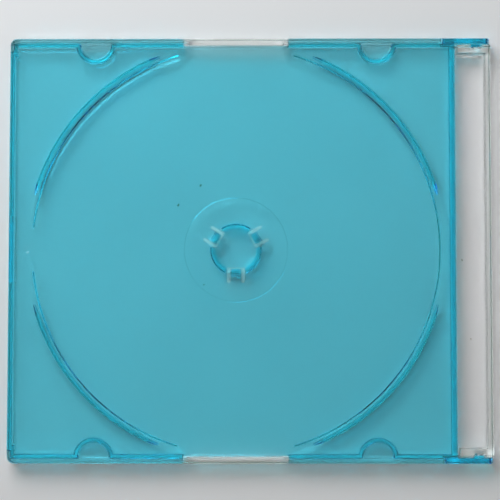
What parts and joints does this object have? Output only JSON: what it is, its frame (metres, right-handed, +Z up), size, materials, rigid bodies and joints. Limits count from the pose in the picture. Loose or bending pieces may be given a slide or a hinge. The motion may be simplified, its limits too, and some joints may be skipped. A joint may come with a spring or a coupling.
{
  "type": "slim optical disc jewel case",
  "caption": "Slim see-through jewel case for one optical disc: clear lid with a spine hinge, and a tinted tray with a snap hub and disc-guard ribs.",
  "frame": {"origin": "middle of the closed case's footprint, at the level of the surface that it lies on, which is the outer face of the lid", "axes": "+X towards the hinge, along the case's long side; +Y along the hinge axis; +Z up, from the lid to the tray"},
  "size_m": [0.142, 0.125, 0.0052],
  "materials": {
    "clear_lid": "gloss",
    "tinted_tray": "gloss"
  },
  "bodies": {
    "lid": {"lid": "clear_lid"},
    "tray": {"tray": "tinted_tray"}
  },
  "joints": [
    {"name": "case_hinge", "type": "hinge", "parent": "lid", "child": "tray", "pos_m": [0.0669, 0, 0.0026], "axis": [0, 1, 0], "range_deg": [0, 180]}
  ]
}
